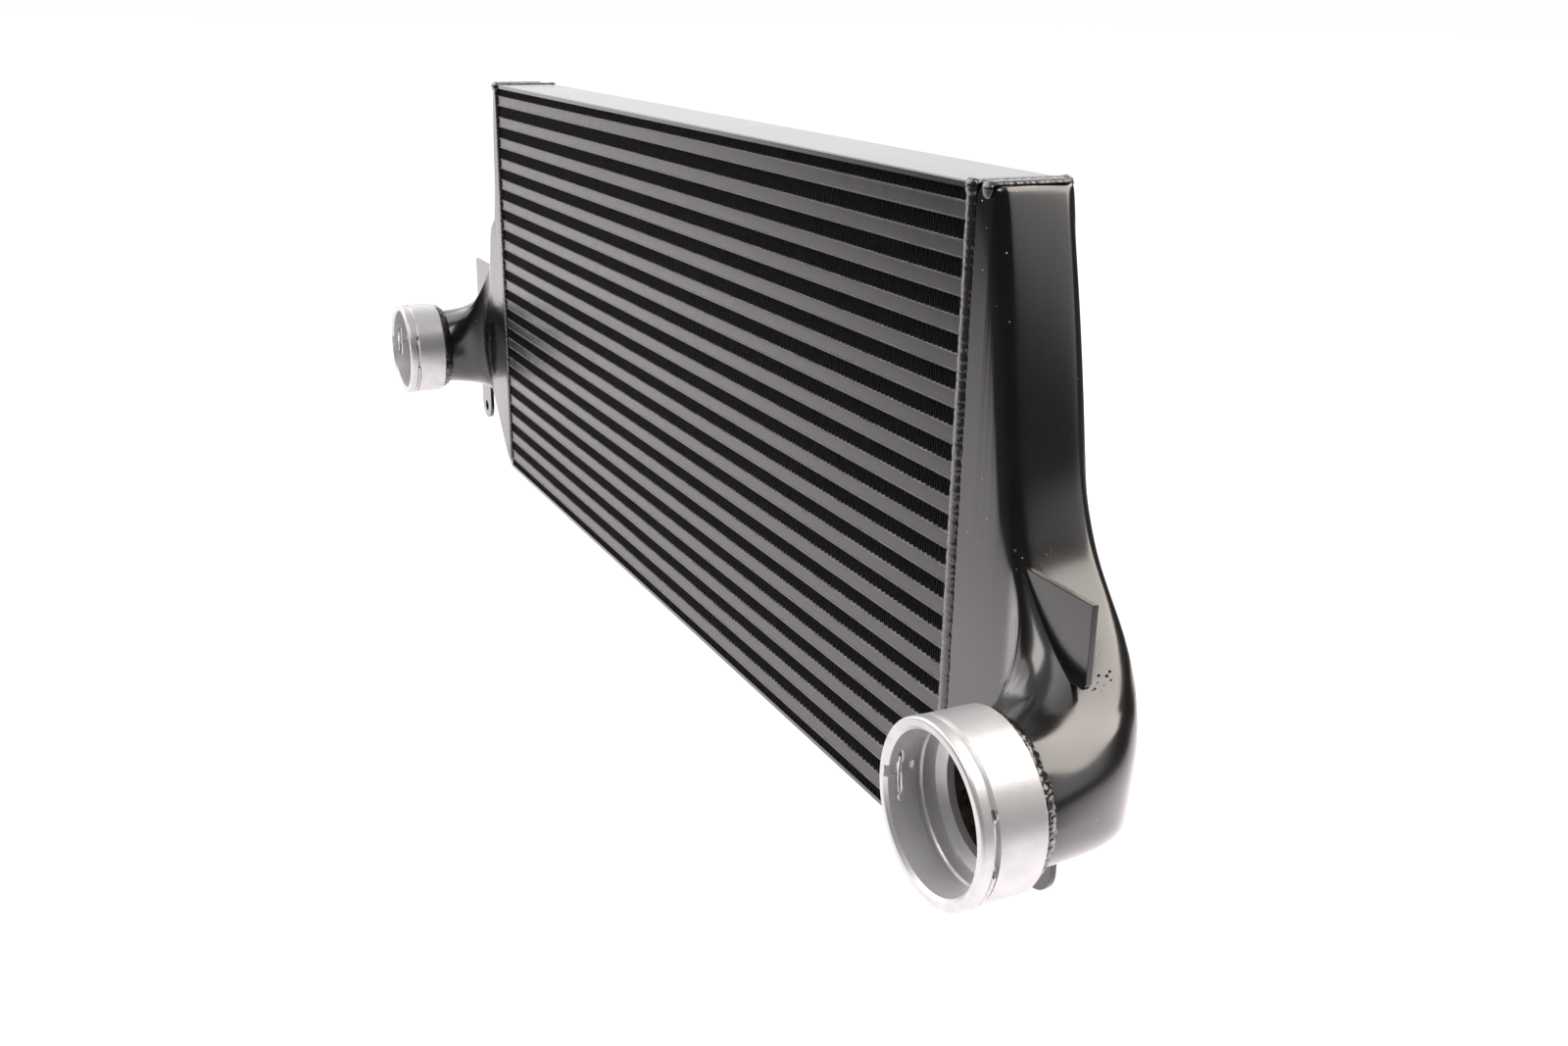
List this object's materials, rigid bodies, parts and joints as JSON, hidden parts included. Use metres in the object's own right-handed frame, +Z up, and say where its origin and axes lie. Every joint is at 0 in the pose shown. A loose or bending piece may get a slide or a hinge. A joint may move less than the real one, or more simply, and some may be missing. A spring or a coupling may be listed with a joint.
{
  "type": "intercooler",
  "caption": "Bar-and-plate charge-air cooler: finned rectangular core between two welded end tanks that sweep forward into round quick-release sockets.",
  "frame": {"origin": "centre of the core's flat underside", "axes": "+X to the right along the passages, -Y to the front where the sockets point, +Z up through the stack of fins"},
  "size_m": [0.9444, 0.1155, 0.3137],
  "materials": {
    "coated_aluminium": "satin black coating over bar, sheet and weld beads",
    "coated_fins": "satin black coating on thin fin sheet",
    "machined_aluminium": "turned, bare, lightly brushed",
    "bare_aluminium": "bare as brazed",
    "spring_wire": "drawn steel wire"
  },
  "bodies": {
    "root": {"fin_row_01": "coated_fins", "fin_row_02": "coated_fins", "fin_row_03": "coated_fins", "fin_row_04": "coated_fins", "fin_row_05": "coated_fins", "fin_row_06": "coated_fins", "fin_row_07": "coated_fins", "fin_row_08": "coated_fins", "fin_row_09": "coated_fins", "fin_row_10": "coated_fins", "fin_row_11": "coated_fins", "fin_row_12": "coated_fins", "fin_row_13": "coated_fins", "fin_row_14": "coated_fins", "fin_row_15": "coated_fins", "fin_row_16": "coated_fins", "fin_row_17": "coated_fins", "fin_row_18": "coated_fins", "fin_row_19": "coated_fins", "fin_row_20": "coated_fins", "separator_sheets": "coated_aluminium", "front_bars": "coated_aluminium", "rear_bars": "coated_aluminium", "left_end_bars": "coated_aluminium", "right_end_bars": "coated_aluminium", "top_side_plate": "coated_aluminium", "bottom_side_plate": "coated_aluminium", "left_tank": "coated_aluminium", "right_tank": "coated_aluminium", "left_tank_weld": "coated_aluminium", "right_tank_weld": "coated_aluminium", "left_socket_weld": "coated_aluminium", "right_socket_weld": "coated_aluminium", "left_gusset_plate": "coated_aluminium", "right_gusset_plate": "coated_aluminium", "left_mounting_tab": "coated_aluminium", "right_mounting_tab": "coated_aluminium", "inner_fins": "bare_aluminium", "left_socket": "machined_aluminium", "right_socket": "machined_aluminium", "left_retaining_clip": "spring_wire", "right_retaining_clip": "spring_wire"}
  },
  "joints": []
}
